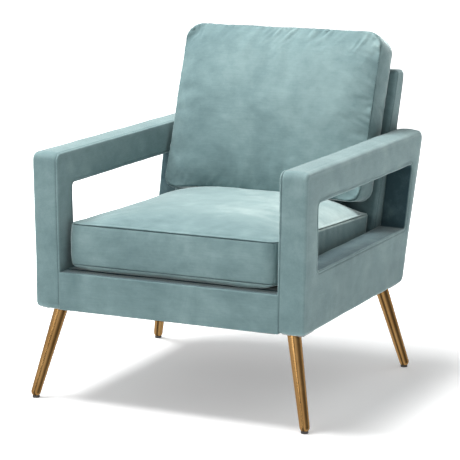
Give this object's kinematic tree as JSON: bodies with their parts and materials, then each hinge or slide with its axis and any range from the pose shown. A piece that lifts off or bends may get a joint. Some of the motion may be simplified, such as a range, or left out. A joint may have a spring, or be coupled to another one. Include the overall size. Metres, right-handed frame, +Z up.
{
  "type": "upholstered armchair",
  "caption": "Lounge armchair with open velvet arms, loose seat and back cushions, and splayed tapered brass-finish legs.",
  "frame": {"origin": "on the floor, under the middle of the chair's overall width and depth", "axes": "+Z up, the seat faces -Y, +X to the right of someone looking at the chair's front"},
  "size_m": [0.7418, 0.8165, 0.8685],
  "materials": {
    "velvet": "matte",
    "brass": "satin",
    "glide": "matte",
    "timber": "matte",
    "board": "matte",
    "foam": "matte",
    "steel": "satin",
    "webbing": "matte",
    "dust_cloth": "matte",
    "zip_tape": "matte"
  },
  "bodies": {
    "chair": {"arm_bolts": "steel", "back_bottom_rail": "timber", "back_cover": "velvet", "back_foam": "foam", "back_top_rail": "timber", "back_webbing": "webbing", "corner_blocks": "timber", "deck_cover": "velvet", "deck_pad": "foam", "dust_cover": "dust_cloth", "front_rail": "timber", "front_rail_cover": "velvet", "front_rail_foam": "foam", "left_arm_base_rail": "timber", "left_arm_boards": "board", "left_arm_cover": "velvet", "left_arm_front_foam": "foam", "left_arm_front_post": "timber", "left_arm_lower_foam": "foam", "left_arm_rear_foam": "foam", "left_arm_rear_post": "timber", "left_arm_sill_rail": "timber", "left_arm_top_foam": "foam", "left_arm_top_rail": "timber", "left_back_post": "timber", "left_front_leg": "brass", "left_rear_leg": "brass", "left_side_rail": "timber", "leg_glides": "glide", "leg_plates": "steel", "plate_screws": "steel", "rear_rail": "timber", "right_arm_base_rail": "timber", "right_arm_boards": "board", "right_arm_cover": "velvet", "right_arm_front_foam": "foam", "right_arm_front_post": "timber", "right_arm_lower_foam": "foam", "right_arm_rear_foam": "foam", "right_arm_rear_post": "timber", "right_arm_sill_rail": "timber", "right_arm_top_foam": "foam", "right_arm_top_rail": "timber", "right_back_post": "timber", "right_front_leg": "brass", "right_rear_leg": "brass", "right_side_rail": "timber", "seat_springs": "steel", "spring_clips": "steel"},
    "seat_cushion": {"seat_cushion_cover": "velvet", "seat_cushion_filling": "foam", "seat_cushion_zip": "zip_tape"},
    "seat_zip_slider": {"seat_cushion_zip_slider": "steel"},
    "back_cushion": {"back_cushion_cover": "velvet", "back_cushion_filling": "foam", "back_cushion_zip": "zip_tape"},
    "back_zip_slider": {"back_cushion_zip_slider": "steel"}
  },
  "joints": [
    {"name": "seat_cushion_slide", "type": "slide", "parent": "chair", "child": "seat_cushion", "axis": [0, -0.9988, 0.0489], "range_m": [0, 0.62]},
    {"name": "back_cushion_slide", "type": "slide", "parent": "chair", "child": "back_cushion", "axis": [0, 0.3387, 0.9409], "range_m": [0, 0.42]},
    {"name": "seat_zip_slide", "type": "slide", "parent": "seat_cushion", "child": "seat_zip_slider", "axis": [1, 0, 0], "range_m": [0, 0.406]},
    {"name": "back_zip_slide", "type": "slide", "parent": "back_cushion", "child": "back_zip_slider", "axis": [1, 0, 0], "range_m": [0, 0.398]}
  ]
}
